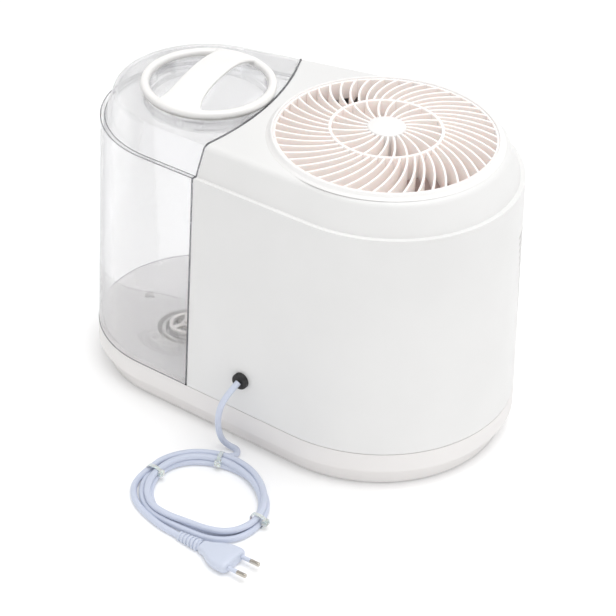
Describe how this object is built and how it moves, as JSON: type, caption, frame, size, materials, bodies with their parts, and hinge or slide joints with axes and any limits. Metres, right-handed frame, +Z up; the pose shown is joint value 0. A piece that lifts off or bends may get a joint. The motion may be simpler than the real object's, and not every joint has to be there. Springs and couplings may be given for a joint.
{
  "type": "humidifier",
  "caption": "Evaporative cool mist humidifier: clear lift-off water tank beside a white fan housing with a round top grille, on a shared water tray, with a coiled mains cord.",
  "frame": {"origin": "on the floor, under the centre of the body's outline, measured without the mains cord", "axes": "+X towards the water tank, -X towards the fan end, -Y the front with the controls, +Y the rear with the mains cord, +Z up"},
  "size_m": [0.412, 0.4164, 0.307],
  "materials": {
    "base_white": "satin moulded white",
    "bezel_grey": "fine texture",
    "cap_white": "satin moulded white",
    "cord_white": "bluish white PVC",
    "duct_grey": "moulded",
    "foot_rubber": "soft grey rubber",
    "frame_plastic": "moulded",
    "gland_black": "black rubber",
    "grille_cream": "fine satin",
    "housing_white": "satin moulded white",
    "knob_white": "satin moulded white",
    "lens_amber": "tinted clear",
    "motor_steel": "pressed steel can",
    "pin_nickel": "nickel plated brass",
    "plug_white": "bluish white PVC",
    "rotor_plastic": "moulded",
    "screw_steel": "zinc plated",
    "seal_rubber": "translucent silicone",
    "shaft_steel": "ground",
    "spring_steel": "drawn wire",
    "switch_black": "moulded",
    "tank_clear": "clear moulded plastic",
    "tie_clear": "translucent nylon",
    "tray_beige": "satin moulded beige",
    "trim_white": "satin moulded white",
    "valve_white": "moulded",
    "wick_paper": "pleated wick",
    "window_clear": "clear moulded plastic"
  },
  "bodies": {
    "base": {"base_tray": "base_white", "tray_divider": "tray_beige", "feet": "foot_rubber", "filter_ring_low": "frame_plastic", "filter_ring_high": "frame_plastic", "filter_ribs": "frame_plastic", "wick_filter": "wick_paper"},
    "housing": {"main_housing": "housing_white", "fan_grille": "grille_cream", "grille_rim": "trim_white", "grille_hub_cap": "trim_white", "fan_duct": "duct_grey", "duct_screws": "screw_steel", "fan_motor": "motor_steel", "motor_screws": "screw_steel", "control_bezel": "bezel_grey", "rotary_switch": "switch_black", "refill_lens": "lens_amber", "lamp_holder": "switch_black", "cord_gland": "gland_black", "inner_lead": "cord_white", "terminal_block": "frame_plastic", "cord_lead": "cord_white", "cord_tail": "cord_white", "cord_coil": "cord_white", "cord_ties": "tie_clear", "plug_relief": "plug_white", "plug_body": "plug_white", "pin_sleeves": "plug_white", "plug_pins": "pin_nickel"},
    "fan": {"fan_rotor": "rotor_plastic", "motor_shaft": "shaft_steel", "rotor_nut": "screw_steel"},
    "knob": {"speed_knob": "knob_white", "switch_shaft": "shaft_steel"},
    "tank": {"tank_shell": "tank_clear", "valve_cap": "valve_white", "valve_cap_seal": "seal_rubber", "valve_spring": "spring_steel"},
    "plunger": {"valve_plunger": "valve_white", "plunger_seal": "seal_rubber"},
    "cap": {"cap_ring_handle": "cap_white", "cap_window": "window_clear", "cap_gasket": "seal_rubber"}
  },
  "joints": [
    {"name": "housing_lift", "type": "slide", "parent": "base", "child": "housing", "axis": [0, 0, 1], "range_m": [0, 0.22]},
    {"name": "fan_spin", "type": "hinge", "parent": "housing", "child": "fan", "pos_m": [-0.07375, 0, 0.249], "axis": [0, 0, 1], "continuous": true},
    {"name": "knob_turn", "type": "hinge", "parent": "housing", "child": "knob", "pos_m": [0.016, -0.11112, 0.232], "axis": [0.1381, -0.9904, 0], "range_deg": [0, 135]},
    {"name": "tank_lift", "type": "slide", "parent": "base", "child": "tank", "axis": [0, 0, 1], "range_m": [0, 0.28]},
    {"name": "valve_open", "type": "slide", "parent": "tank", "child": "plunger", "axis": [0, 0, 1], "range_m": [0, 0.004], "stiffness_N_per_m": 150, "springref_m": -0.006, "deforming": ["valve_spring"]},
    {"name": "cap_twist", "type": "hinge", "parent": "tank", "child": "cap", "pos_m": [0.10275, 0, 0.289], "axis": [0, 0, 1], "range_deg": [0, 40]}
  ]
}
